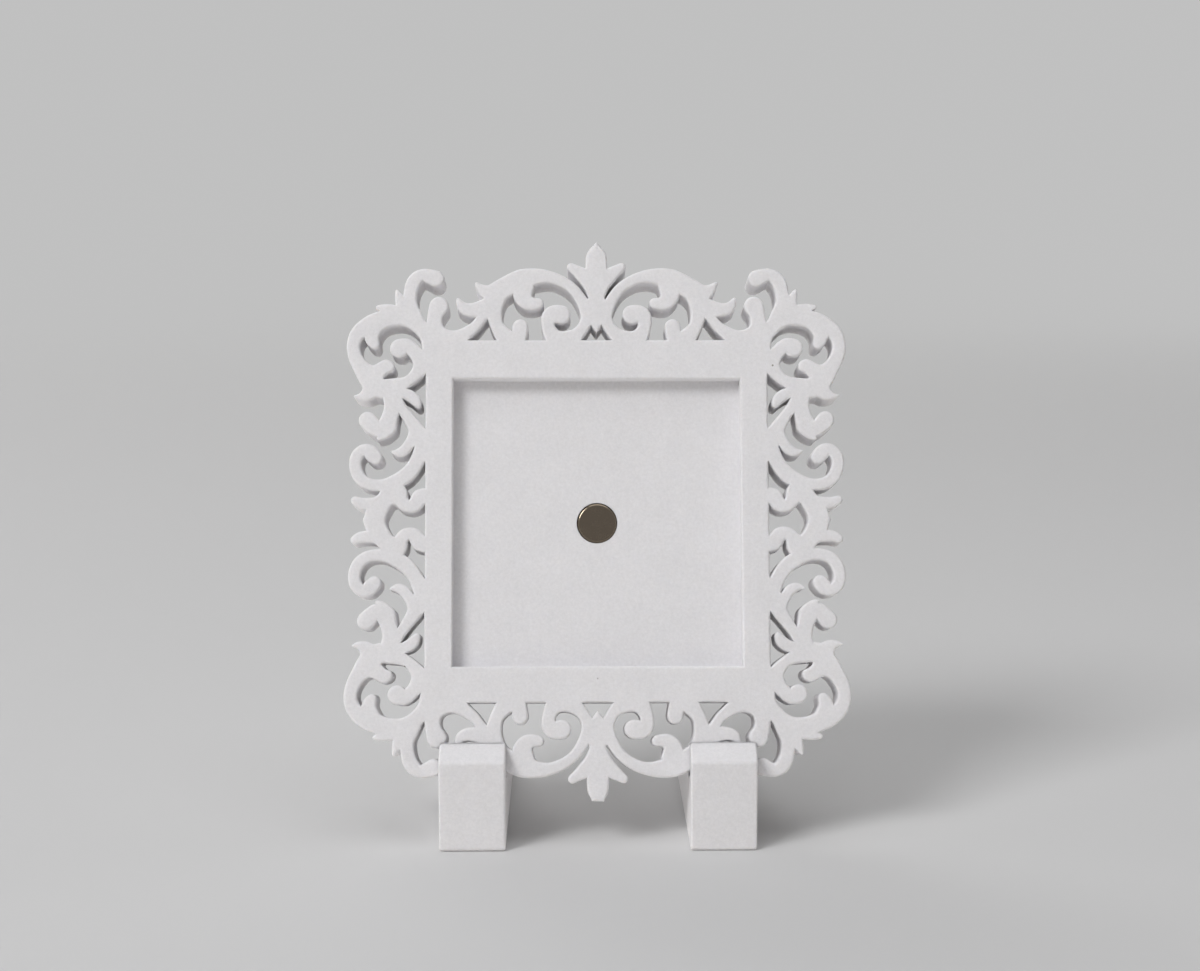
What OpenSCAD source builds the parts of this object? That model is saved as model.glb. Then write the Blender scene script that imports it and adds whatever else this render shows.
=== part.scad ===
/* [Picture recess] */
// Side of the square picture that the recess holds
picture_side = 70; // [60:1:80]
// Play around the picture
picture_play = 0.5; // [0.2:0.1:1.5]
// Depth of the recess below the face of the frame
recess_depth = 4.5; // [3:0.25:6]

/* [Frame] */
// Thickness of the frame, from its face to its back
frame_t = 12; // [10:0.5:13]
// Plain border left and right of the recess
side_border = 6.75; // [5:0.1:9]
// Plain border above and below the recess
top_border = 9.2; // [7:0.1:12]
// Reach of the scrollwork past the border at each side
side_band = 19.7; // [17:0.5:23]
// Reach of the scrollwork past the border at the top and the bottom
top_band = 18.4; // [15:0.5:21]
// Lean of the frame, in degrees back from upright
lean = 15; // [10:1:18]
// How far the middle of the scrollwork stands above the middle of the recess
scroll_rise = 0.45; // [0:0.05:1]

/* [Magnet] */
// Diameter of the disc magnet
magnet_d = 10; // [8:0.5:14]
// Thickness of the disc magnet
magnet_t = 3; // [2:0.25:4]
// How far the magnet stands above the floor of the recess
magnet_proud = 0.2; // [0.1:0.1:0.6]
// Width of the chamfer round the rim of the magnet
magnet_chamfer = 0.4; // [0.2:0.1:0.6]

/* [Feet] */
// Width of each foot
foot_w = 16; // [12:0.5:20]
// Length of each foot, from front to back
foot_l = 70; // [60:1:85]
// Distance of each foot's middle from the middle of the frame
foot_x = 30.2; // [28:0.2:33]
// Height of the upright front face
foot_front_h = 22; // [20:0.5:24]
// Height of the lip, where it meets the face of the frame
foot_lip_h = 25.6; // [25:0.2:28]
// Depth of the lip, from the front face to the face of the frame
foot_lip_l = 6; // [5:0.25:8]
// Height of the wall behind the slot
foot_rear_h = 21; // [20:0.5:22]
// Height of the low end of the tail
foot_tail_h = 3.5; // [2:0.25:5]
// Height of the slot's floor at its front edge
slot_floor_h = 17.6; // [16.5:0.1:18.5]
// Play on each face of the frame in the slot
slot_play = 0.15; // [0.1:0.05:0.3]
// Radius of the foot's soft outer edges, seen from the side
foot_round = 1.2; // [0.5:0.1:1.6]

/* [Hidden] */
overrun = 1;
weld = 0.01;
stroke_steps = 2;
round_facets = 12;
recess_side = picture_side + picture_play;
bezel_w = recess_side + 2 * side_border;
bezel_h = recess_side + 2 * top_border;
pocket_depth = magnet_t - magnet_proud;
foot_cut_share = 2.31;
slot_w = frame_t + 2 * slot_play;

// The scrollwork is drawn for one quarter and mirrored. Each row holds a share across, a share up
// and a width. In both directions 1 is the edge of the border and 2 the full reach of the scrolls.
// The width is a share of the top band.
// The great arch, from its outer tip over to the stem in the middle
arch_shares = [
    [0.703, 1.790, 0.06], [0.662, 1.695, 0.17], [0.600, 1.670, 0.28], [0.520, 1.768, 0.28],
    [0.440, 1.852, 0.29], [0.360, 1.893, 0.23], [0.280, 1.890, 0.17], [0.200, 1.825, 0.15],
    [0.128, 1.703, 0.145], [0.078, 1.520, 0.16], [0.052, 1.350, 0.18]
];
// The round hook that hangs under the arch
arch_hook_shares = [
    [0.430, 1.760, 0.30], [0.432, 1.620, 0.26], [0.402, 1.532, 0.205], [0.362, 1.518, 0.16],
    [0.340, 1.528, 0.15]
];
// The strut from the arch down to the border
arch_strut_shares = [
    [0.590, 1.620, 0.28], [0.602, 1.480, 0.24], [0.597, 1.340, 0.20], [0.580, 1.200, 0.18],
    [0.535, 1.070, 0.24], [0.470, 0.980, 0.20]
];
// The leaf that rises beside the strut
arch_leaf_shares = [
    [0.625, 1.480, 0.30], [0.690, 1.445, 0.22], [0.750, 1.437, 0.18], [0.790, 1.480, 0.15],
    [0.812, 1.575, 0.06]
];
// The brace from the leaf to the border, round the bottom of the bay
arch_brace_shares = [
    [0.660, 1.420, 0.25], [0.676, 1.325, 0.14], [0.709, 1.217, 0.144], [0.748, 1.148, 0.165],
    [0.790, 1.080, 0.20], [0.850, 1.055, 0.20], [0.900, 1.080, 0.22], [0.945, 1.130, 0.25]
];
// The stem in the middle
stem_shares = [
    [0, 1.420, 0.42], [0, 1.360, 0.30]
];
// The leg that the stem stands on
stem_leg_shares = [
    [0.052, 1.400, 0.17], [0.063, 1.269, 0.163], [0.088, 1.166, 0.163], [0.125, 1.080, 0.20],
    [0.180, 1.056, 0.18], [0.230, 1.050, 0.20]
];
// The small tooth under the stem
stem_tip_shares = [
    [0, 1.300, 0.20], [0, 1.190, 0.10], [0, 1.160, 0.05]
];
// The curl inside the arch
curl_shares = [
    [0.225, 0.980, 0.25], [0.268, 1.120, 0.205], [0.284, 1.220, 0.175], [0.281, 1.310, 0.215],
    [0.262, 1.375, 0.235], [0.235, 1.383, 0.25], [0.206, 1.373, 0.26]
];
// The bud beside the curl
bud_shares = [
    [0.452, 0.980, 0.15], [0.450, 1.080, 0.19], [0.447, 1.205, 0.22]
];
// The round bud under the corner hook
small_curl_shares = [
    [0.950, 0.980, 0.35], [0.950, 1.130, 0.27], [0.950, 1.220, 0.225], [0.948, 1.360, 0.205],
    [0.925, 1.487, 0.27]
];
// The side leaf of the finial
finial_leaf_shares = [
    [0.016, 1.630, 0.158], [0.030, 1.760, 0.20], [0.059, 1.867, 0.215], [0.094, 1.936, 0.187],
    [0.125, 1.985, 0.14], [0.148, 2.020, 0.125]
];
// The hook at the upper end of the corner
hook_shares = [
    [1.225, 1.480, 0.25], [1.202, 1.620, 0.18], [1.182, 1.760, 0.19], [1.125, 1.865, 0.19],
    [1.030, 1.918, 0.175], [0.943, 1.864, 0.235]
];
// The limb from the corner of the border to the hook
corner_shares = [
    [1.000, 1.000, 0.12], [1.006, 1.120, 0.21], [1.090, 1.225, 0.21], [1.165, 1.328, 0.27],
    [1.222, 1.480, 0.25]
];
// The upper leaf of the corner
corner_leaf_shares = [
    [1.250, 1.480, 0.30], [1.325, 1.580, 0.15], [1.365, 1.690, 0.055]
];
// The lower leaf of the corner
corner_low_leaf_shares = [
    [1.350, 1.380, 0.25], [1.500, 1.455, 0.14], [1.600, 1.472, 0.07]
];
// The big scroll round the corner
big_scroll_shares = [
    [1.200, 1.362, 0.25], [1.350, 1.360, 0.25], [1.520, 1.318, 0.24], [1.690, 1.255, 0.235],
    [1.835, 1.140, 0.21], [1.902, 1.000, 0.18], [1.892, 0.930, 0.185], [1.802, 0.855, 0.22],
    [1.705, 0.808, 0.31], [1.620, 0.760, 0.28]
];
// The tongue that hangs inside the big scroll
tongue_shares = [
    [1.655, 1.200, 0.25], [1.678, 1.080, 0.20], [1.668, 1.025, 0.18], [1.640, 0.987, 0.145]
];
// The prong that stands inside the big scroll
prong_shares = [
    [1.640, 0.820, 0.23], [1.555, 0.846, 0.20], [1.480, 0.872, 0.175], [1.447, 0.858, 0.145]
];
// The inner curl of the corner
inner_curl_shares = [
    [1.332, 0.965, 0.262], [1.240, 0.980, 0.210], [1.137, 0.945, 0.185], [1.058, 0.888, 0.22],
    [1.075, 0.845, 0.20], [1.160, 0.800, 0.155], [1.250, 0.773, 0.16], [1.400, 0.750, 0.23],
    [1.550, 0.735, 0.26]
];
// The leaf that points out to the side
side_leaf_shares = [
    [1.620, 0.775, 0.20], [1.700, 0.722, 0.22], [1.755, 0.702, 0.16], [1.825, 0.694, 0.09],
    [1.878, 0.697, 0.03]
];
// The leaf that points in to the border
inner_leaf_shares = [
    [1.400, 0.720, 0.25], [1.300, 0.715, 0.15], [1.200, 0.702, 0.16], [1.125, 0.675, 0.15],
    [1.093, 0.646, 0.10]
];
// The arm under the corner
arm_shares = [
    [1.440, 0.740, 0.28], [1.420, 0.650, 0.20], [1.450, 0.565, 0.235], [1.520, 0.525, 0.22],
    [1.600, 0.510, 0.21], [1.720, 0.563, 0.245]
];
// The pointed tip under the arm
arm_tip_shares = [
    [1.470, 0.530, 0.26], [1.510, 0.488, 0.16], [1.560, 0.465, 0.08], [1.595, 0.460, 0.05]
];
// The brace from the arm to the border
brace_shares = [
    [1.400, 0.690, 0.20], [1.290, 0.628, 0.14], [1.185, 0.560, 0.17], [1.090, 0.497, 0.21],
    [1.030, 0.430, 0.24]
];
// The pointed lobe under the brace
pointed_lobe_shares = [
    [1.120, 0.530, 0.15], [1.165, 0.460, 0.14], [1.250, 0.398, 0.15], [1.350, 0.381, 0.11],
    [1.415, 0.388, 0.035]
];
// The side scroll, from its curl back to the border
side_scroll_shares = [
    [1.620, 0.356, 0.20], [1.690, 0.388, 0.21], [1.780, 0.396, 0.17], [1.857, 0.360, 0.165],
    [1.868, 0.305, 0.165], [1.820, 0.250, 0.17], [1.730, 0.215, 0.16], [1.620, 0.203, 0.16],
    [1.500, 0.205, 0.16], [1.380, 0.222, 0.19], [1.240, 0.255, 0.215], [1.124, 0.316, 0.194],
    [1.030, 0.405, 0.22]
];
// The leaf beside the middle of the side
middle_leaf_shares = [
    [1.560, 0.085, 0.25], [1.680, 0.100, 0.17], [1.790, 0.102, 0.15], [1.868, 0.119, 0.12]
];
// The bow across the middle of the side
middle_shares = [
    [1.420, 0.170, 0.20], [1.550, 0.090, 0.26], [1.610, 0.045, 0.28], [1.620, 0.010, 0.28]
];
// The point in the middle of the side
middle_point_shares = [
    [1.650, 0.040, 0.20], [1.700, 0.020, 0.14], [1.735, 0.013, 0.08]
];
// The curl from the bow to the border
middle_curl_shares = [
    [1.440, 0.150, 0.28], [1.335, 0.175, 0.27], [1.300, 0.122, 0.19], [1.255, 0.095, 0.18],
    [1.200, 0.086, 0.176], [1.120, 0.094, 0.20], [1.065, 0.140, 0.22], [0.990, 0.140, 0.22]
];
// The pointed petal on top of the frame
finial_shares = [
    [0, 1.650, 0.14], [0, 1.900, 0.28], [0, 2.130, 0.285], [0, 2.200, 0.262],
    [0, 2.250, 0.205], [0, 2.300, 0.117], [0, 2.335, 0.03]
];
// The petal at the bottom, which is cut flat
finial_foot_shares = [
    [0, 1.650, 0.14], [0, 1.900, 0.28], [0, 2.150, 0.285], [0, 2.220, 0.25],
    [0, 2.260, 0.19]
];

// A share across or up, as a distance from the middle of the frame
function reach(share, half, band) = min(share, 1) * half + max(share - 1, 0) * band;
function place(row) = [
    reach(row[0], bezel_w / 2, side_band), reach(row[1], bezel_h / 2, top_band), row[2] * top_band
];
// A smooth curve through four neighbours, at a part t of the way from b to c
function bend(a, b, c, d, t) = (2 * b + (c - a) * t + (2 * a - 5 * b + 4 * c - d) * t * t
    + (3 * b - a - 3 * c + d) * t * t * t) / 2;
function smooth(rows) = let (p = [for (row = rows) place(row)], last = len(p) - 1) [
    for (i = [0:last - 1], k = [0:stroke_steps - 1])
        bend(p[max(i - 1, 0)], p[i], p[i + 1], p[min(i + 2, last)], k / stroke_steps),
    p[last]
];
function flat(p) = [p[0], p[1]];
function side_of(line, i) = let (
    d = flat(line[min(i + 1, len(line) - 1)] - line[max(i - 1, 0)])
) [-d[1], d[0]] / norm(d) * line[i][2] / 2;

// How far down the scrolls reach over a foot, as heights under the mirror line of the frame
function reach_over_foot(rows) = [
    for (p = smooth(rows)) if (abs(p[0] - foot_x) < (foot_w + p[2]) / 2) p[1] - scroll_rise + p[2] / 2
];
scroll_low = max(concat(reach_over_foot(arch_shares), reach_over_foot(hook_shares))) - scroll_rise;
// Where the front wall and the back wall of the slot meet its floor and the top of the foot
slot_y = foot_lip_l - (foot_lip_h - slot_floor_h) * tan(lean);
rear_y = slot_y + slot_w / cos(lean) + (foot_rear_h - slot_floor_h) * tan(lean);
// The middle of the recess, on the face of the frame
face_y = slot_y - foot_l / 2 + slot_play * cos(lean) + scroll_low * sin(lean);
face_z = slot_floor_h - slot_play * sin(lean) + scroll_low * cos(lean);

// A tapering stroke of the scrollwork along its smooth middle line, with round ends
module stroke(rows) {
    line = smooth(rows);
    for (i = [0:len(line) - 2])
        polygon([
            flat(line[i]) + side_of(line, i), flat(line[i + 1]) + side_of(line, i + 1),
            flat(line[i + 1]) - side_of(line, i + 1), flat(line[i]) - side_of(line, i)
        ]);
    for (p = [line[0], line[len(line) - 1]]) translate(flat(p)) circle(d = p[2], $fn = round_facets);
}

module quarter() {
    for (rows = [
        arch_shares, arch_hook_shares, arch_strut_shares, arch_leaf_shares, arch_brace_shares,
        stem_shares, stem_leg_shares, stem_tip_shares, curl_shares, bud_shares, small_curl_shares,
        finial_leaf_shares, hook_shares, corner_shares, corner_leaf_shares, corner_low_leaf_shares,
        big_scroll_shares, tongue_shares, prong_shares, inner_curl_shares, side_leaf_shares,
        inner_leaf_shares, arm_shares, arm_tip_shares, brace_shares, pointed_lobe_shares,
        side_scroll_shares, middle_leaf_shares, middle_shares, middle_point_shares,
        middle_curl_shares
    ]) stroke(rows);
}

module outline() {
    offset(delta = weld) {
        translate([0, scroll_rise]) {
            square([bezel_w, bezel_h], center = true);
            for (across = [0, 1], up = [0, 1])
                mirror([across, 0]) mirror([0, up]) translate([0, -scroll_rise]) quarter();
        }
        stroke(finial_shares);
        intersection() {
            translate([0, 2 * scroll_rise]) mirror([0, 1]) stroke(finial_foot_shares);
            translate([-bezel_w / 2, 2 * scroll_rise - reach(foot_cut_share, bezel_h / 2, top_band)])
                square([bezel_w, bezel_h]);
        }
    }
}

// Lifts what is drawn flat with its face up to where the frame stands, leaning back
module stand() {
    translate([0, face_y, face_z]) rotate([90 - lean, 0, 0]) children();
}

module frame() {
    color("white") stand() difference() {
        translate([0, 0, -frame_t]) linear_extrude(frame_t) outline();
        translate([-recess_side / 2, -recess_side / 2, -recess_depth])
            cube([recess_side, recess_side, recess_depth + overrun]);
        translate([0, 0, -recess_depth - pocket_depth])
            cylinder(d = magnet_d, h = pocket_depth + overrun, $fn = 64);
    }
}

// The disc magnet, pressed into its pocket in the floor of the recess
module magnet() {
    color("silver") stand() translate([0, 0, -recess_depth - pocket_depth]) {
        cylinder(d = magnet_d, h = magnet_t - magnet_chamfer, $fn = 64);
        translate([0, 0, magnet_t - magnet_chamfer])
            cylinder(d1 = magnet_d, d2 = magnet_d - 2 * magnet_chamfer, h = magnet_chamfer, $fn = 64);
    }
}

// Side view of a foot: a block with a lip, a leaning slot and a tail that slopes down to the back
module foot_side() {
    difference() {
        offset(r = foot_round, $fn = 32) offset(delta = -foot_round) polygon([
            [0, 0], [0, foot_front_h], [foot_lip_l, foot_lip_h], [rear_y, foot_rear_h],
            [foot_l, foot_tail_h], [foot_l, 0]
        ]);
        translate([slot_y, slot_floor_h]) rotate(-lean) square([slot_w, foot_lip_h]);
    }
}

module foot(x) {
    color("gainsboro") translate([x - foot_w / 2, -foot_l / 2, 0])
        rotate([90, 0, 90]) linear_extrude(foot_w) foot_side();
}

module left_foot() {
    foot(-foot_x);
}

module right_foot() {
    foot(foot_x);
}

frame();
magnet();
left_foot();
right_foot();
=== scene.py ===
"""Looks of a leaning scrollwork photo frame, printed in white sintered nylon, with a disc magnet."""

import math

import bmesh
import bpy
import numpy as np
from bpy.props import FloatProperty, FloatVectorProperty, PointerProperty
from mathutils import Matrix, Vector
from mathutils.geometry import delaunay_2d_cdt


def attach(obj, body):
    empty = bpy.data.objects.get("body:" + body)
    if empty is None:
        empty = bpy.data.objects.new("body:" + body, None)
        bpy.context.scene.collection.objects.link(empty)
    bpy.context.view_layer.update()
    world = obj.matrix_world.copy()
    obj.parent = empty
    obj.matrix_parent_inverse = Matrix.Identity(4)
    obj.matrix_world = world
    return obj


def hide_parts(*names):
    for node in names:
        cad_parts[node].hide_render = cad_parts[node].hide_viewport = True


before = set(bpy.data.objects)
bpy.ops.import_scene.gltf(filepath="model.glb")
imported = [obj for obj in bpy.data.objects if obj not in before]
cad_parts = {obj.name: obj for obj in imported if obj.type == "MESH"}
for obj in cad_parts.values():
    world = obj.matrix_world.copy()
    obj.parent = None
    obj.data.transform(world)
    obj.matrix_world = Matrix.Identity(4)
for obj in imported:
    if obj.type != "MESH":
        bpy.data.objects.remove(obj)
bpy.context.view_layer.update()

bl_info = {
    "name": "Scrollwork Photo Frame",
    "version": (1, 0, 0),
    "blender": (4, 5, 0),
    "location": "3D View > Sidebar > Photo Frame",
    "description": "Finishes the frame, its magnet and its feet, and lights them in a pale studio",
    "category": "Object",
}

MM = 0.001

# The frame leans back: UP runs along its face, and OUT points away from the face
LEAN = math.radians(15.0)
UP = Vector((0.0, math.sin(LEAN), math.cos(LEAN)))
OUT = Vector((0.0, -math.cos(LEAN), math.sin(LEAN)))

# Reading the outline of the frame, and wearing its small flats into curves.
# CUSP_SPAN and CUSP_FADE are in points of the outline, each EVEN_SIDE from the next.
TINY = 0.005 * MM
WELD = 0.0001 * MM
LEAST_SIDE = 0.12 * MM
EVEN_SIDE = 0.25 * MM
LONGEST_SIDE = 1.2 * MM
MOST_BEND = math.radians(5.0)
CUSP_TURN = math.radians(70.0)
CUSP_SPAN = 3
CUSP_FADE = 4.0
EASING_ROUNDS = 12

# The long outer curve of the opening in each corner, measured from the middle of the frame
LONG_CURVE_SPOT = np.array((49.5, 51.0)) * MM
LONG_CURVE_REACH = 5.6 * MM
LONG_CURVE_FADE = 1.2 * MM
LONG_CURVE_ROUNDS = 90

# Rounding the edges of the frame over. The two shares leave a flat strip between neighbouring edges.
MITRE_LIMIT = 1.3
WIDTH_SHARE = 0.4
DISC_SHARE = 0.8
FAR = 1.0
SEAM = 0.002 * MM
SHARP_TURN = math.radians(50.0)

# Softening the edges of the feet
FOOT_WELD = 0.02 * MM
FOOT_FLAT_TURN = math.radians(1.0)
FOOT_EDGE_TURN = math.radians(15.0)
FOOT_EDGE_STEPS = 3

# Patterns in the nylon: how fine they are, and the darkest that they make its colour.
# A speck fills the middle of a cell, between these shares of the cell's width.
CLOUDS_PER_METRE = 110.0
CLOUD_DARKEST = 0.965
MOTTLE_PER_GRAIN = 0.8
MOTTLE_DARKEST = 0.90
SPECK_CELLS_PER_METRE = 300.0
SPECK_RARITY = 0.988
SPECK_FADE = (0.05, 0.10)
SCATTER_WEIGHT = 0.4
SCATTER_DEPTH = 1.0 * MM
SCATTER_COLOURS = (1.0, 0.94, 0.87)

# Handling marks on the nickel plate. RIM_TURN is the cosine of the turn from the flat face to the rim.
MARKS_PER_METRE = 420.0
MARK_ROUGHNESS = 0.10
MARK_SHADE = 0.9
MARK_HEIGHT = 0.004 * MM
RIM_TURN = (0.99, 0.93)

# The stage, in metres: how far off the floor fades, and the places of the lamps and the camera
FLOOR_FADE = (0.5, 2.0)
LAMP_TARGET = Vector((0.0, -0.015, 0.077))
KEY_PLACE = LAMP_TARGET + Vector((-0.535, -0.566, 0.628)) * 3.0
KEY_SIZE = 1.1
TOP_PLACE = Vector((0.2, -0.6, 3.0))
TOP_SIZE = 2.5
BACK_PLACE = Vector((-1.2, 2.2, 1.6))
BACK_SIZE = 2.0
CAMERA_PLACE = (-6.69 * MM, -556.59 * MM, 165.12 * MM)
CAMERA_YAW = math.radians(0.78)
CAMERA_PITCH = math.radians(8.322)

# Where a Mix node keeps its sockets for colours
COLOUR_A, COLOUR_B, COLOUR_OUT = 6, 7, 2


class NylonSettings(bpy.types.PropertyGroup):
    """Sizes and colours of the printed nylon"""

    colour: FloatVectorProperty(
        name="Colour", description="Colour of clean nylon", subtype="COLOR",
        size=3, min=0.0, max=1.0, default=(0.84, 0.83, 0.85),
    )
    speck_colour: FloatVectorProperty(
        name="Speck Colour", description="Colour of the few dark powder grains", subtype="COLOR",
        size=3, min=0.0, max=1.0, default=(0.30, 0.28, 0.26),
    )
    grain: FloatProperty(
        name="Grain", description="Size of the powder grain", unit="LENGTH",
        min=0.0001, max=0.002, default=0.0006, precision=5,
    )
    grain_height: FloatProperty(
        name="Grain Height", description="Height of the powder grain", unit="LENGTH",
        min=0.0, max=0.0002, default=0.00009, precision=6,
    )
    frame_edge: FloatProperty(
        name="Frame Edge", description="Width of the soft edges of the scrollwork", unit="LENGTH",
        min=0.0001, max=0.0008, default=0.00065, precision=5,
    )
    foot_edge: FloatProperty(
        name="Foot Edge", description="Width of the soft edges of the feet", unit="LENGTH",
        min=0.0001, max=0.0015, default=0.0006, precision=5,
    )


class MagnetSettings(bpy.types.PropertyGroup):
    """Sizes and colours of the nickel plate"""

    # The plate's colour is painted darker than nickel: painted shade that stands in for the dark room the
    # plate reflects
    colour: FloatVectorProperty(
        name="Colour", description="Colour of the nickel plate", subtype="COLOR",
        size=3, min=0.0, max=1.0, default=(0.165, 0.135, 0.105),
    )
    # The rim's colour is painted lighter than the face: a painted highlight that strengthens the lamp's
    # glint on the rim
    rim_highlight_colour: FloatVectorProperty(
        name="Rim Colour", description="Colour of the plate on its rounded rim", subtype="COLOR",
        size=3, min=0.0, max=1.0, default=(0.20, 0.165, 0.125),
    )
    roughness: FloatProperty(
        name="Roughness", description="Roughness of the nickel plate", subtype="FACTOR",
        min=0.0, max=1.0, default=0.20,
    )
    rim_roughness: FloatProperty(
        name="Rim Roughness", description="Roughness of the rim, which handling wears smooth",
        subtype="FACTOR", min=0.0, max=1.0, default=0.07,
    )
    edge: FloatProperty(
        name="Edge", description="Radius of the rounded edge of the magnet", unit="LENGTH",
        min=0.0001, max=0.001, default=0.0007, precision=5,
    )
    gap: FloatProperty(
        name="Gap", description="Gap round the magnet in its pocket", unit="LENGTH",
        min=0.0, max=0.0002, default=0.00007, precision=6,
    )


class StageSettings(bpy.types.PropertyGroup):
    """Floor, lamps and camera"""

    floor_colour: FloatVectorProperty(
        name="Floor Colour", description="Colour of the floor as it is seen", subtype="COLOR",
        size=3, min=0.0, max=1.0, default=(0.64, 0.64, 0.645),
    )
    bounce_colour: FloatVectorProperty(
        name="Bounce Colour", description="Colour of the light that the floor throws back", subtype="COLOR",
        size=3, min=0.0, max=1.0, default=(0.95, 0.93, 0.90),
    )
    key_power: FloatProperty(
        name="Key Power", description="Power of the lamp at the upper left", unit="POWER",
        min=0.0, max=500.0, default=47.0,
    )
    top_power: FloatProperty(
        name="Top Power", description="Power of the broad lamp overhead", unit="POWER",
        min=0.0, max=500.0, default=29.0,
    )
    back_power: FloatProperty(
        name="Back Power", description="Power of the broad lamp behind", unit="POWER",
        min=0.0, max=500.0, default=20.0,
    )
    ambient: FloatProperty(
        name="Ambient", description="Strength of the even light from all round",
        min=0.0, max=2.0, default=0.14,
    )
    seen_world: FloatProperty(
        name="Seen World", description="Brightness of the plain background that the floor fades into",
        subtype="FACTOR", min=0.0, max=1.0, default=0.53,
    )
    lens: FloatProperty(
        name="Lens", description="Focal length of the camera", unit="CAMERA",
        min=20.0, max=200.0, default=67.5,
    )


def placed(name, data):
    """A new object in the scene that shows a mesh, a lamp or a camera."""
    made = bpy.data.objects.new(name, data)
    bpy.context.scene.collection.objects.link(made)
    return made


def new_mesh(name, points, smooth, flat=()):
    """A mesh of its points, the faces that are shaded smooth and the faces that are shaded flat."""
    made = bpy.data.meshes.new(name)
    made.from_pydata(points, [], [*smooth, *flat])
    made.polygons.foreach_set("use_smooth", [True] * len(smooth) + [False] * len(flat))
    made.validate()
    return made


def joined_rings(first, count, rings):
    """The faces between rings of points that follow each other in a mesh."""
    faces = []
    for ring in range(rings - 1):
        for k in range(count):
            a = first + ring * count + k
            b = first + ring * count + (k + 1) % count
            faces.append([a, b, b + count, a + count])
    return faces


def quarter_round(steps):
    """A quarter circle of radius 1 from the wall to the face, as steps in from the wall and down."""
    turns = [math.pi / 2 * i / steps for i in range(steps + 1)]
    return [(1.0 - math.cos(turn), 1.0 - math.sin(turn)) for turn in turns]


def node(tree, kind, **values):
    """A shader node with some of its settings and input values filled in."""
    made = tree.nodes.new(kind)
    for key, value in values.items():
        if key in made.inputs:
            made.inputs[key].default_value = value
        else:
            setattr(made, key, value)
    return made


def feed(tree, socket, value):
    """Fills an input with a plain value, or joins it to the output of another node."""
    if isinstance(value, bpy.types.NodeSocket):
        tree.links.new(value, socket)
    else:
        socket.default_value = value


def sum_of(tree, operation, first, second):
    """What an operation makes of two numbers or outputs."""
    made = node(tree, "ShaderNodeMath", operation=operation)
    feed(tree, made.inputs[0], first)
    feed(tree, made.inputs[1], second)
    return made.outputs["Value"]


def ranged(tree, value, low, high, to_low=0.0, to_high=1.0, interpolation="LINEAR"):
    """An output taken from one range to another, and held at its ends."""
    made = node(tree, "ShaderNodeMapRange", interpolation_type=interpolation)
    for name, end in (("From Min", low), ("From Max", high), ("To Min", to_low), ("To Max", to_high)):
        made.inputs[name].default_value = end
    tree.links.new(value, made.inputs["Value"])
    return made.outputs["Result"]


def mixed(tree, share, first, second, blend_type="MIX"):
    """A mix of two colours or outputs, by a share of the second."""
    made = node(tree, "ShaderNodeMix", data_type="RGBA", blend_type=blend_type)
    feed(tree, made.inputs["Factor"], share)
    feed(tree, made.inputs[COLOUR_A], first)
    feed(tree, made.inputs[COLOUR_B], second)
    return made.outputs[COLOUR_OUT]


def noise(tree, place, scale, detail, roughness):
    """A cloudy pattern that stays fixed to the piece."""
    made = node(tree, "ShaderNodeTexNoise", Scale=scale, Detail=detail, Roughness=roughness)
    tree.links.new(place, made.inputs["Vector"])
    return made.outputs["Fac"]


def raised(tree, height, distance, strength=1.0):
    """The surface's normal with a pattern raised on it."""
    made = node(tree, "ShaderNodeBump", Strength=strength, Distance=distance)
    tree.links.new(height, made.inputs["Height"])
    return made.outputs["Normal"]


def seen_directly(tree):
    """1 on what the camera, a reflection or a clear piece shows, and 0 for light on its way."""
    ray = node(tree, "ShaderNodeLightPath")
    share = ray.outputs["Is Camera Ray"]
    for kind in ("Is Glossy Ray", "Is Transmission Ray"):
        share = sum_of(tree, "MAXIMUM", share, ray.outputs[kind])
    return share


def new_material(name):
    """An empty node material with its output and a Principled shader joined up."""
    material = bpy.data.materials.new(name)
    material.use_nodes = True
    tree = material.node_tree
    tree.nodes.clear()
    output = tree.nodes.new("ShaderNodeOutputMaterial")
    shader = tree.nodes.new("ShaderNodeBsdfPrincipled")
    tree.links.new(shader.outputs["BSDF"], output.inputs["Surface"])
    return material, tree, shader


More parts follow.
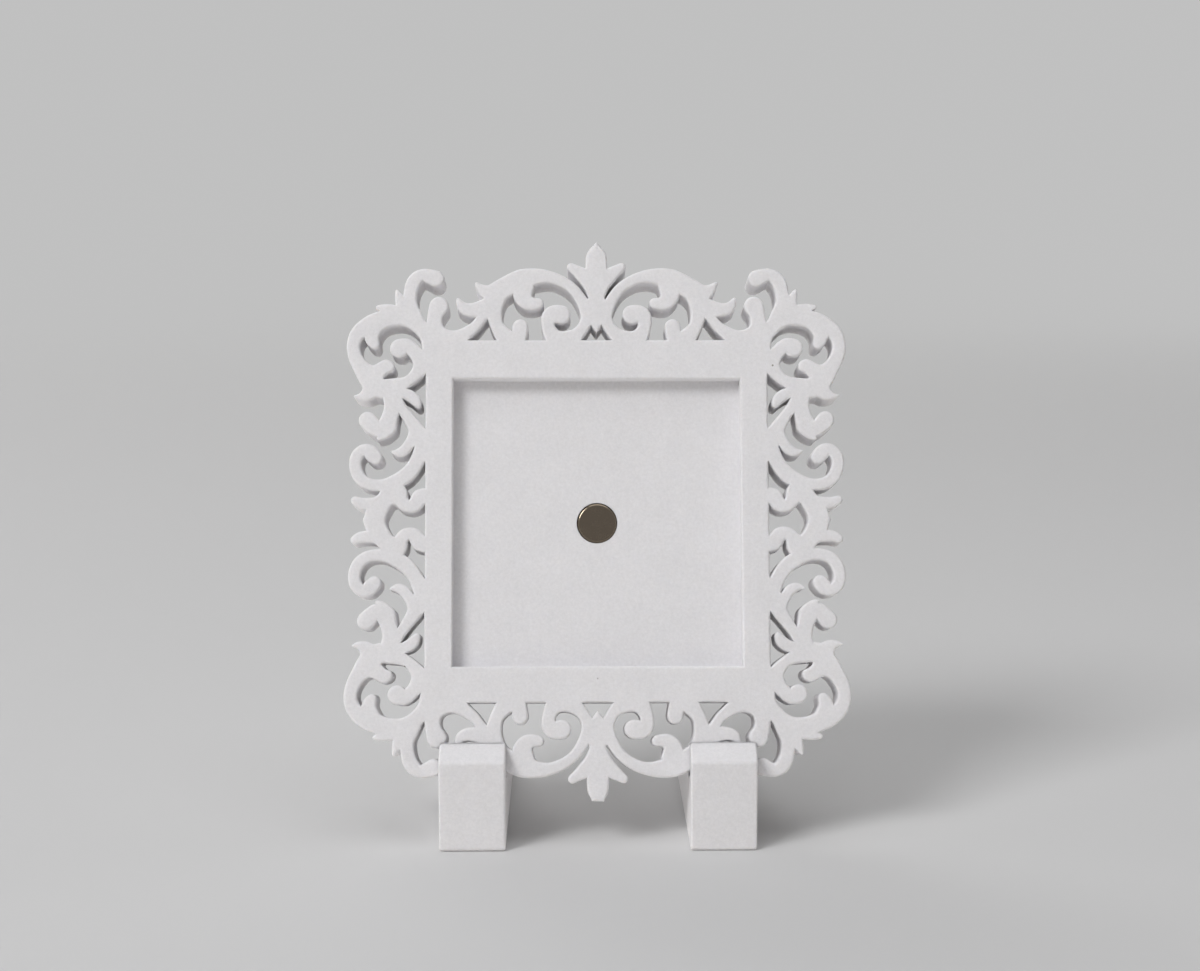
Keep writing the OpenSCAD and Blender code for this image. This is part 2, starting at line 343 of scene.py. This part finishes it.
def sintered_nylon(settings):
    """White sintered nylon: matt, with powder grain, faint clouds and a few dark grains."""
    material, tree, shader = new_material("printed_nylon")
    link = tree.links.new
    place = node(tree, "ShaderNodeTexCoord").outputs["Object"]

    clouds = noise(tree, place, CLOUDS_PER_METRE, detail=4.0, roughness=0.6)
    mottle = noise(tree, place, MOTTLE_PER_GRAIN / settings.grain, detail=3.0, roughness=0.7)
    cloud_shade = ranged(tree, clouds, low=0.3, high=0.7, to_low=CLOUD_DARKEST)
    mottle_shade = ranged(tree, mottle, low=0.25, high=0.75, to_low=MOTTLE_DARKEST)
    shade = sum_of(tree, "MULTIPLY", mottle_shade, cloud_shade)
    clean = mixed(tree, 1.0, (*settings.colour, 1.0), shade, "MULTIPLY")

    # The dark grains are the middles of a few cells of a fine pattern
    cells = node(tree, "ShaderNodeTexVoronoi", Scale=SPECK_CELLS_PER_METRE)
    link(place, cells.inputs["Vector"])
    chance = node(tree, "ShaderNodeSeparateColor")
    link(cells.outputs["Color"], chance.inputs["Color"])
    chosen = sum_of(tree, "GREATER_THAN", chance.outputs["Red"], SPECK_RARITY)
    near_middle = ranged(tree, cells.outputs["Distance"], *SPECK_FADE, to_low=1.0, to_high=0.0)
    speck = sum_of(tree, "MULTIPLY", chosen, near_middle)
    link(mixed(tree, speck, clean, (*settings.speck_colour, 1.0)), shader.inputs["Base Color"])

    grain = noise(tree, place, 1.0 / settings.grain, detail=2.0, roughness=0.6)
    link(raised(tree, grain, settings.grain_height), shader.inputs["Normal"])
    shader.inputs["Roughness"].default_value = 0.85
    shader.inputs["Specular IOR Level"].default_value = 0.25
    shader.inputs["Subsurface Weight"].default_value = SCATTER_WEIGHT
    shader.inputs["Subsurface Radius"].default_value = SCATTER_COLOURS
    shader.inputs["Subsurface Scale"].default_value = SCATTER_DEPTH
    return material


def nylon_material(context):
    """The one nylon that the frame and its feet share."""
    return bpy.data.materials.get("printed_nylon") or sintered_nylon(context.scene.nylon)


def nickel_plate(settings):
    """Polished nickel plate with faint handling marks and a rim that is worn smooth. Its colour is painted
    darker than nickel as painted shade for the dark room it reflects, and its rim is painted lighter as a
    painted highlight.
    """
    material, tree, shader = new_material("nickel_painted_dark")
    link = tree.links.new
    coordinates = node(tree, "ShaderNodeTexCoord")
    marks = noise(tree, coordinates.outputs["Object"], MARKS_PER_METRE, detail=3.0, roughness=0.55)
    most_worn = settings.roughness + MARK_ROUGHNESS
    polish = ranged(tree, marks, low=0.35, high=0.7, to_low=settings.roughness, to_high=most_worn)
    marked = (MARK_SHADE * part for part in settings.colour)
    tint = mixed(tree, marks, (*settings.colour, 1.0), (*marked, 1.0))

    # The rim is where the surface turns away from the flat face. Its lighter colour there is a painted
    # highlight, and its smoother finish is real wear.
    facing = node(tree, "ShaderNodeVectorMath", operation="DOT_PRODUCT")
    facing.inputs[1].default_value = tuple(OUT)
    link(coordinates.outputs["Normal"], facing.inputs[0])
    rim = ranged(tree, facing.outputs["Value"], *RIM_TURN, interpolation="SMOOTHSTEP")
    link(mixed(tree, rim, tint, (*settings.rim_highlight_colour, 1.0)), shader.inputs["Base Color"])
    smooth = node(tree, "ShaderNodeMix", data_type="FLOAT", B=settings.rim_roughness)
    link(rim, smooth.inputs["Factor"])
    link(polish, smooth.inputs["A"])
    link(smooth.outputs["Result"], shader.inputs["Roughness"])

    link(raised(tree, marks, MARK_HEIGHT, strength=0.3), shader.inputs["Normal"])
    shader.inputs["Metallic"].default_value = 1.0
    return material


def floor_material(settings):
    """Pale floor that throws light back well, and is seen to fade into the plain background."""
    material, tree, shader = new_material("pale_floor")
    link = tree.links.new
    shader.inputs["Roughness"].default_value = 0.9
    shader.inputs["Specular IOR Level"].default_value = 0.1
    seen = seen_directly(tree)
    tone = mixed(tree, seen, (*settings.bounce_colour, 1.0), (*settings.floor_colour, 1.0))
    link(tone, shader.inputs["Base Color"])

    reach = node(tree, "ShaderNodeVectorMath", operation="LENGTH")
    link(node(tree, "ShaderNodeTexCoord").outputs["Object"], reach.inputs[0])
    fade = ranged(tree, reach.outputs["Value"], *FLOOR_FADE, interpolation="SMOOTHSTEP")
    plain = node(tree, "ShaderNodeEmission", Strength=settings.seen_world)
    faded = node(tree, "ShaderNodeMixShader")
    link(sum_of(tree, "MULTIPLY", seen, fade), faded.inputs[0])
    link(shader.outputs["BSDF"], faded.inputs[1])
    link(plain.outputs["Emission"], faded.inputs[2])
    link(faded.outputs["Shader"], tree.get_output_node("ALL").inputs["Surface"])
    return material


def soft_copy(node_name, piece_name, body, material, edge):
    """A piece with soft edges in the place of a plain CAD node."""
    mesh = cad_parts[node_name].data.copy()
    mesh.name = piece_name
    mesh.materials.clear()
    mesh.materials.append(material)
    mesh.polygons.foreach_set("use_smooth", [True] * len(mesh.polygons))
    piece = placed(piece_name, mesh)
    weld = piece.modifiers.new("join_corners", "WELD")
    weld.merge_threshold = FOOT_WELD
    flat = piece.modifiers.new("whole_faces", "DECIMATE")
    flat.decimate_type = "DISSOLVE"
    flat.angle_limit = FOOT_FLAT_TURN
    soft = piece.modifiers.new("soft_edges", "BEVEL")
    soft.width = edge
    soft.segments = FOOT_EDGE_STEPS
    soft.limit_method = "ANGLE"
    soft.angle_limit = FOOT_EDGE_TURN
    soft.use_clamp_overlap = False
    soft.miter_outer = "MITER_ARC"
    normals = piece.modifiers.new("even_shading", "WEIGHTED_NORMAL")
    normals.mode = "FACE_AREA_WITH_ANGLE"
    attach(piece, body)
    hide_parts(node_name)


def flat_place(v):
    """A point seen square to the frame: across, up along the lean, and out of the face."""
    return v.x, v.dot(UP), v.dot(OUT)


def lift(across, up, out):
    """The reverse of flat_place."""
    return Vector((across, 0.0, 0.0)) + UP * up + OUT * out


def edge_loops(mesh, level):
    """The loops that bound the faces at one level of the frame, with the material on the left."""
    key_of, places, edges = {}, [], set()
    for face in mesh.polygons:
        corners = [flat_place(mesh.vertices[i].co) for i in face.vertices]
        if any(abs(c[2] - level) > TINY for c in corners):
            continue
        ids = []
        for across, up, _ in corners:
            key = (round(across / WELD), round(up / WELD))
            if key not in key_of:
                key_of[key] = len(places)
                places.append((across, up))
            ids.append(key_of[key])
        if face.normal.dot(OUT) < 0:
            ids.reverse()
        edges.update(zip(ids, ids[1:] + ids[:1]))
    onward = {}
    for a, b in edges:
        if (b, a) not in edges and a != b:
            onward.setdefault(a, []).append(b)
    loops = []
    while onward:
        start = min(onward)
        loop, here = [], start
        while here in onward:
            loop.append(places[here])
            ahead = onward[here].pop()
            if not onward[here]:
                del onward[here]
            here = ahead
        loops.append(np.array(loop))
    return loops


def without_short_sides(loop):
    """The loop with points left out that lie too close to the one before."""
    kept = [loop[0]]
    for point in loop[1:]:
        if np.hypot(*(point - kept[-1])) >= LEAST_SIDE:
            kept.append(point)
    while len(kept) > 3 and np.hypot(*(kept[0] - kept[-1])) < LEAST_SIDE:
        kept.pop()
    return np.array(kept)


def with_even_sides(loop):
    """The loop with points added so that no side is long."""
    made = []
    for point, onward in zip(loop, np.roll(loop, -1, axis=0)):
        count = max(1, math.ceil(np.hypot(*(onward - point)) / EVEN_SIDE))
        made.extend(point + (onward - point) * i / count for i in range(count))
    return np.array(made)


def relaxed(loop, share, rounds):
    """The loop with its points drawn, round by round, halfway to the middle of their neighbours."""
    for _ in range(rounds):
        between = 0.5 * (np.roll(loop, 1, axis=0) + np.roll(loop, -1, axis=0))
        loop = loop + 0.5 * share * (between - loop)
    return loop


def signed_area(loop):
    """The area inside a loop, below zero for a hole."""
    after = np.roll(loop, -1, axis=0)
    return 0.5 * (loop[:, 0] * after[:, 1] - loop[:, 1] * after[:, 0]).sum()


def calmed(loop, middle):
    """The loop of an opening with the edge nearest the frame's corner worn into one long curve."""
    from_spot = np.abs(loop - middle) - LONG_CURVE_SPOT
    share = (LONG_CURVE_REACH - np.hypot(*from_spot.T)) / LONG_CURVE_FADE
    return relaxed(loop, np.clip(share, 0.0, 1.0)[:, None], LONG_CURVE_ROUNDS)


def eased(loop, middle):
    """The loop with its flats and small notches worn into curves, and its cusps left alone."""
    loop = with_even_sides(loop)
    if signed_area(loop) < 0.0:
        loop = calmed(loop, middle)
    back = loop - np.roll(loop, CUSP_SPAN, axis=0)
    ahead = np.roll(loop, -CUSP_SPAN, axis=0) - loop
    cross = back[:, 0] * ahead[:, 1] - back[:, 1] * ahead[:, 0]
    turn = np.abs(np.arctan2(cross, (back * ahead).sum(axis=1)))
    nearby = [np.roll(turn, i) for i in range(-CUSP_SPAN, CUSP_SPAN + 1)]
    cusps = np.flatnonzero((turn > CUSP_TURN) & (turn >= np.maximum.reduce(nearby)))
    order = np.arange(len(loop))
    away = np.full(len(loop), float(len(loop)))
    for cusp in cusps:
        gap = np.abs(order - cusp)
        away = np.minimum(away, np.minimum(gap, len(loop) - gap))
    share = np.minimum(1.0, away / CUSP_FADE)[:, None]
    return thinned(relaxed(loop, share, EASING_ROUNDS), cusps)


def thinned(loop, cusps):
    """The loop without the points that its curves don't need."""
    kept, start = [0], loop[1] - loop[0]
    always = set(int(i) for i in cusps)
    for i in range(1, len(loop)):
        step = loop[(i + 1) % len(loop)] - loop[i]
        turned = abs(math.atan2(start[0] * step[1] - start[1] * step[0], start @ step))
        far = np.hypot(*(loop[i] - loop[kept[-1]])) > LONGEST_SIDE
        if i in always or turned > MOST_BEND or far:
            kept.append(i)
            start = step
    return loop[kept]


def inward(loop):
    """At each point of a loop, the way into the material that keeps an even distance to both sides."""
    along = np.roll(loop, -1, axis=0) - loop
    along /= np.linalg.norm(along, axis=1)[:, None]
    left = np.stack([-along[:, 1], along[:, 0]], axis=1)
    total = left + np.roll(left, 1, axis=0)
    square = (total**2).sum(axis=1)[:, None]
    return total * np.minimum(2.0 / np.maximum(square, 1e-9), MITRE_LIMIT)


def side_ends(loops):
    """The start and the end of every side of a set of loops."""
    return np.concatenate(loops), np.concatenate([np.roll(loop, -1, axis=0) for loop in loops])


def widths(loops, ways):
    """How far each point can go inward before it meets another edge."""
    starts, ends = side_ends(loops)
    run = ends - starts
    parallel = 1e-15
    found = []
    for loop, way in zip(loops, ways):
        gap = starts[None, :, :] - loop[:, None, :]
        cross = way[:, None, 0] * run[None, :, 1] - way[:, None, 1] * run[None, :, 0]
        cross = np.where(np.abs(cross) < parallel, parallel, cross)
        ahead = (gap[:, :, 0] * run[None, :, 1] - gap[:, :, 1] * run[None, :, 0]) / cross
        share = (gap[:, :, 0] * way[:, None, 1] - gap[:, :, 1] * way[:, None, 0]) / cross
        met = (ahead > TINY) & (share >= 0.0) & (share <= 1.0)
        found.append(np.where(met, ahead, FAR).min(axis=1))
    return found


def free_discs(loops, ways):
    """The radius of the largest disc that touches each point from inside and holds no other point."""
    points = np.concatenate(loops)
    found = []
    for loop, way in zip(loops, ways):
        gap = points[None, :, :] - loop[:, None, :]
        depth = (gap * way[:, None, :]).sum(axis=2)
        square = (gap**2).sum(axis=2)
        inside = depth > 1e-12
        radius = np.where(inside, square / np.where(inside, 2.0 * depth, 1.0), FAR)
        found.append(radius.min(axis=1))
    return found


def soft_radii(loops, ways, edge):
    """How far each point's edge is rounded over, less where a leaf is narrow or comes to a tip."""
    limits = zip(widths(loops, ways), free_discs(loops, ways))
    return [np.minimum(edge, np.minimum(WIDTH_SHARE * width, DISC_SHARE * disc)) for width, disc in limits]


def soft_rings(loop, way, radius, level, outward, steps):
    """Rings of points that round an edge over from the wall to a face at the given level."""
    rings = []
    for across, down in quarter_round(steps):
        flat = loop + way * (radius * across)[:, None]
        depth = radius * down
        rings.append([lift(a, u, level - outward * d) for (a, u), d in zip(flat, depth)])
    return rings


def within(places, loops):
    """Whether each place lies inside a set of loops and outside the holes among them."""
    crossings = np.zeros(len(places), dtype=int)
    for (ax, ay), (bx, by) in zip(*side_ends(loops)):
        if ay == by:
            continue
        level_with = (ay > places[:, 1]) != (by > places[:, 1])
        at = ax + (places[:, 1] - ay) / (by - ay) * (bx - ax)
        crossings += level_with & (at > places[:, 0])
    return crossings % 2 == 1


def filled(loops, level, points, faces, flip):
    """Fills the area inside a set of loops with triangles, leaving the holes open."""
    flat, edges = [], []
    for loop in loops:
        first = len(flat)
        flat.extend(Vector((a, u)) for a, u in loop)
        edges.extend((first + i, first + (i + 1) % len(loop)) for i in range(len(loop)))
    every_triangle, same_place = 0, 1e-8
    made, _, cells, *_ = delaunay_2d_cdt(flat, edges, [], every_triangle, same_place)
    places = np.array([(p.x, p.y) for p in made])
    cells = np.array([cell for cell in cells if len(cell) == 3])
    first = len(points)
    points.extend(lift(across, up, level) for across, up in places)
    for cell in cells[within(places[cells].mean(axis=1), loops)]:
        ids = [first + int(i) for i in cell]
        faces.append(ids[::-1] if flip else ids)


def scrollwork_mesh(source, edge, steps=3):
    """The frame with soft edges: its outline is read from the CAD node, and its edges are rounded over."""
    mesh = source.data
    levels = [flat_place(v.co)[2] for v in mesh.vertices]
    face, back = max(levels), min(levels)
    floor = max(level for level in levels if back + MM < level < face - MM)
    loops = [without_short_sides(loop) for loop in edge_loops(mesh, face)]
    loops = [loop for loop in loops if len(loop) > 3]
    recess = min(range(len(loops)), key=lambda i: signed_area(loops[i]))
    middle = (loops[recess].min(axis=0) + loops[recess].max(axis=0)) / 2
    loops = [loop if i == recess else eased(loop, middle) for i, loop in enumerate(loops)]
    ways = [inward(loop) for loop in loops]
    radii = soft_radii(loops, ways, edge)

    # The recess floor and the magnet's pocket stay as they are in the CAD node
    points, faces, kept = [], [], []
    for poly in mesh.polygons:
        corners = [levels[i] for i in poly.vertices]
        if max(corners) <= floor + TINY and min(corners) > back + TINY:
            first = len(points)
            points.extend(mesh.vertices[i].co.copy() for i in poly.vertices)
            kept.append(list(range(first, first + len(poly.vertices))))

    for i, (loop, way, radius) in enumerate(zip(loops, ways, radii)):
        rings = soft_rings(loop, way, radius, face, 1.0, steps)
        if i == recess:
            rings = [[lift(a, u, floor) for a, u in loop]] + rings
        else:
            rings = soft_rings(loop, way, radius, back, -1.0, 1)[::-1] + rings
        faces.extend(joined_rings(len(points), len(loop), len(rings)))
        for ring in rings:
            points.extend(ring)
    flat_loops = [loop + way * radius[:, None] for loop, way, radius in zip(loops, ways, radii)]
    filled(flat_loops, face, points, faces, False)
    filled([loop for i, loop in enumerate(flat_loops) if i != recess], back, points, faces, True)
    return new_mesh("scrollwork_print", points, faces, kept)


def sharpened(mesh):
    """Joins the seams of the mesh, and marks the edges that turn so far that shading breaks there."""
    work = bmesh.new()
    work.from_mesh(mesh)
    bmesh.ops.remove_doubles(work, verts=work.verts, dist=SEAM)
    for line in work.edges:
        if len(line.link_faces) == 2:
            line.smooth = line.calc_face_angle(0.0) < SHARP_TURN
    work.to_mesh(mesh)
    work.free()


def magnet_mesh(source, edge, gap, sides=96, steps=6):
    """A plated disc with a rounded edge, turned about the axis of the CAD node."""
    flat = np.array([flat_place(v.co) for v in source.data.vertices])
    low, high = flat.min(axis=0), flat.max(axis=0)
    middle = (low + high) / 2
    radius = (high[0] - low[0]) / 2 - gap
    line = [(radius, low[2])]
    line += [(radius - edge * across, high[2] - edge * down) for across, down in quarter_round(steps)]
    points = []
    for r, out in line:
        for k in range(sides):
            turn = 2 * math.pi * k / sides
            points.append(lift(middle[0] + r * math.cos(turn), middle[1] + r * math.sin(turn), out))
    under = list(range(sides))[::-1]
    top = list(range(len(points) - sides, len(points)))
    return new_mesh("magnet_disc", points, joined_rings(0, sides, len(line)), [under, top])


def sweep(half_width, near, far, height, radius, steps):
    """A floor that curves up into a backdrop."""
    line = [(-near, 0.0)]
    for i in range(steps + 1):
        turn = math.pi / 2 * i / steps
        line.append((far + radius * math.sin(turn), radius - radius * math.cos(turn)))
    line.append((far + radius, height))
    points = [(x, y, z) for y, z in line for x in (-half_width, half_width)]
    faces = [(2 * i, 2 * i + 1, 2 * i + 3, 2 * i + 2) for i in range(len(line) - 1)]
    return placed("floor", new_mesh("floor", points, faces))


def lamp(name, power, size, place):
    """A square area lamp that faces the frame."""
    data = bpy.data.lights.new(name, "AREA")
    data.energy = power
    data.size = size
    made = placed(name, data)
    made.location = place
    made.rotation_euler = (LAMP_TARGET - place).to_track_quat("-Z", "Y").to_euler()


def even_world(settings):
    """Even light from all round, with a brightness of its own where it is seen as the background."""
    world = bpy.data.worlds.new("even_light")
    world.use_nodes = True
    tree = world.node_tree
    back = tree.nodes["Background"]
    back.inputs["Color"].default_value = (1.0, 1.0, 1.0, 1.0)
    strength = ranged(tree, seen_directly(tree), 0.0, 1.0, settings.ambient, settings.seen_world)
    tree.links.new(strength, back.inputs["Strength"])
    return world


def photo_camera(lens):
    """The camera at the viewing angle of the photo, a little above the frame and looking slightly down."""
    data = bpy.data.cameras.new("photo_camera")
    data.lens = lens
    data.sensor_width = 36.0
    data.clip_start = 0.01
    camera = placed("photo_camera", data)
    level = Vector((math.sin(CAMERA_YAW), math.cos(CAMERA_YAW), 0.0))
    ahead = level * math.cos(CAMERA_PITCH) - Vector((0.0, 0.0, math.sin(CAMERA_PITCH)))
    right = Vector((math.cos(CAMERA_YAW), -math.sin(CAMERA_YAW), 0.0))
    turn = Matrix((right, right.cross(ahead), -ahead)).transposed()
    camera.rotation_euler = turn.to_euler()
    camera.location = CAMERA_PLACE
    return camera


class PHOTOFRAME_OT_scrollwork(bpy.types.Operator):
    """Finish the printed frame with its scrollwork"""

    bl_idname = "photoframe.scrollwork"
    bl_label = "Finish Scrollwork"

    def execute(self, context):
        mesh = scrollwork_mesh(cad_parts["frame"], context.scene.nylon.frame_edge)
        sharpened(mesh)
        mesh.materials.append(nylon_material(context))
        made = placed("scrollwork_print", mesh)
        normals = made.modifiers.new("even_shading", "WEIGHTED_NORMAL")
        normals.mode = "FACE_AREA"
        normals.keep_sharp = True
        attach(made, "frame")
        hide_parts("frame")
        return {"FINISHED"}


class PHOTOFRAME_OT_feet(bpy.types.Operator):
    """Finish the two slotted feet"""

    bl_idname = "photoframe.feet"
    bl_label = "Finish Feet"

    def execute(self, context):
        edge = context.scene.nylon.foot_edge
        for side in ("left", "right"):
            body = side + "_foot"
            soft_copy(body, side + "_foot_print", body, nylon_material(context), edge)
        return {"FINISHED"}


class PHOTOFRAME_OT_magnet(bpy.types.Operator):
    """Finish the disc magnet"""

    bl_idname = "photoframe.magnet"
    bl_label = "Finish Magnet"

    def execute(self, context):
        settings = context.scene.magnet
        mesh = magnet_mesh(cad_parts["magnet"], settings.edge, settings.gap)
        mesh.materials.append(nickel_plate(settings))
        disc = placed("magnet_disc", mesh)
        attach(disc, "frame")
        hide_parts("magnet")
        return {"FINISHED"}


class PHOTOFRAME_OT_stage(bpy.types.Operator):
    """Set up the floor, the lamps, the plain view and the camera"""

    bl_idname = "photoframe.stage"
    bl_label = "Set Up Stage"

    def execute(self, context):
        scene = context.scene
        settings = scene.stage
        floor = sweep(half_width=3.0, near=2.5, far=1.6, height=3.0, radius=0.8, steps=16)
        floor.data.materials.append(floor_material(settings))
        lamp("key_lamp", settings.key_power, KEY_SIZE, KEY_PLACE)
        lamp("top_lamp", settings.top_power, TOP_SIZE, TOP_PLACE)
        lamp("back_lamp", settings.back_power, BACK_SIZE, BACK_PLACE)
        scene.world = even_world(settings)
        scene.camera = photo_camera(settings.lens)
        scene.view_settings.view_transform = "Standard"
        return {"FINISHED"}


class PHOTOFRAME_PT_panel(bpy.types.Panel):
    """Lists the steps that finish the frame"""

    bl_idname = "PHOTOFRAME_PT_panel"
    bl_label = "Photo Frame"
    bl_space_type = "VIEW_3D"
    bl_region_type = "UI"
    bl_category = "Photo Frame"

    def draw(self, context):
        for step in STEPS:
            self.layout.operator(step.bl_idname)
        for group in (context.scene.nylon, context.scene.magnet, context.scene.stage):
            box = self.layout.box()
            for name in group.__annotations__:
                box.prop(group, name)


STEPS = (PHOTOFRAME_OT_scrollwork, PHOTOFRAME_OT_feet, PHOTOFRAME_OT_magnet, PHOTOFRAME_OT_stage)
GROUPS = {"nylon": NylonSettings, "magnet": MagnetSettings, "stage": StageSettings}
CLASSES = (*GROUPS.values(), *STEPS, PHOTOFRAME_PT_panel)


def register():
    for cls in CLASSES:
        bpy.utils.register_class(cls)
    for name, group in GROUPS.items():
        setattr(bpy.types.Scene, name, PointerProperty(type=group))


def unregister():
    for name in GROUPS:
        delattr(bpy.types.Scene, name)
    for cls in reversed(CLASSES):
        bpy.utils.unregister_class(cls)


def main():
    register()
    bpy.ops.photoframe.scrollwork()
    bpy.ops.photoframe.feet()
    bpy.ops.photoframe.magnet()
    bpy.ops.photoframe.stage()


if __name__ == "__main__":
    main()
